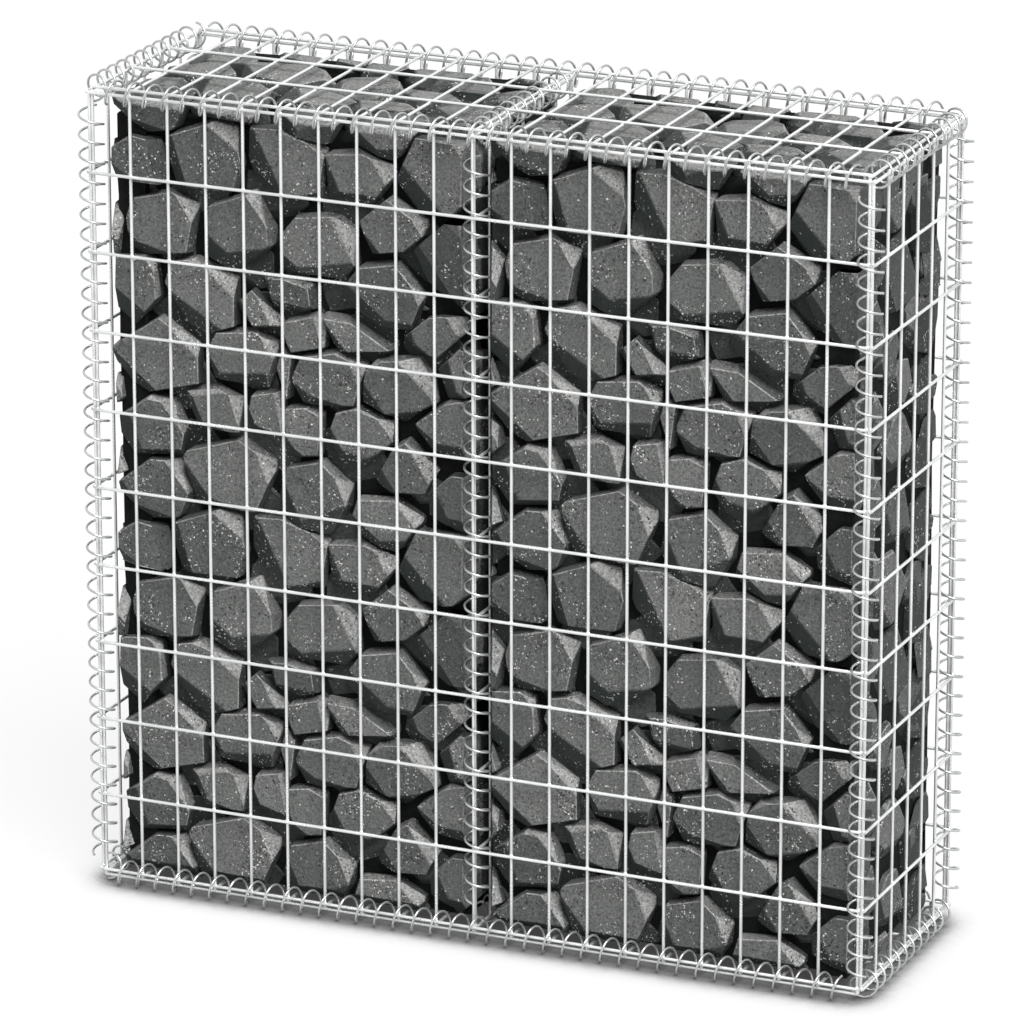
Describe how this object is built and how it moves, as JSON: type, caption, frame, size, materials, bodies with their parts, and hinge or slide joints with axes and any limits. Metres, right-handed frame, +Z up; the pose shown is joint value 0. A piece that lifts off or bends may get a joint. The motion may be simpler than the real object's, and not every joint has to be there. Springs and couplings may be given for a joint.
{
  "type": "gabion wall",
  "caption": "Free-standing stone-filled gabion wall: welded wire panels laced with spiral wire into a tall narrow basket with a divider, packed with angular grey stone.",
  "frame": {"origin": "on the ground under the middle of the wall, at the level of the lowest turns of the base spirals", "axes": "+X along the wall, +Y from the front to the back, +Z up"},
  "size_m": [1.0392, 0.335, 1.0368],
  "materials": {
    "zinc_mesh": "bright galvanised wire",
    "zinc_spiral": "bright galvanised wire",
    "broken_stone": "rough broken stone"
  },
  "bodies": {
    "root": {"base_panel": "zinc_mesh", "front_panel": "zinc_mesh", "back_panel": "zinc_mesh", "left_end_panel": "zinc_mesh", "right_end_panel": "zinc_mesh", "divider_panel": "zinc_mesh", "lid_panel": "zinc_mesh", "front_left_spiral": "zinc_spiral", "front_right_spiral": "zinc_spiral", "back_left_spiral": "zinc_spiral", "back_right_spiral": "zinc_spiral", "divider_front_spiral": "zinc_spiral", "divider_back_spiral": "zinc_spiral", "divider_base_spiral": "zinc_spiral", "divider_lid_spiral": "zinc_spiral", "base_front_spiral": "zinc_spiral", "base_back_spiral": "zinc_spiral", "base_left_spiral": "zinc_spiral", "base_right_spiral": "zinc_spiral", "lid_front_spiral": "zinc_spiral", "lid_back_spiral": "zinc_spiral", "lid_left_spiral": "zinc_spiral", "lid_right_spiral": "zinc_spiral", "stone_fill_left": "broken_stone", "stone_fill_right": "broken_stone"}
  },
  "joints": []
}
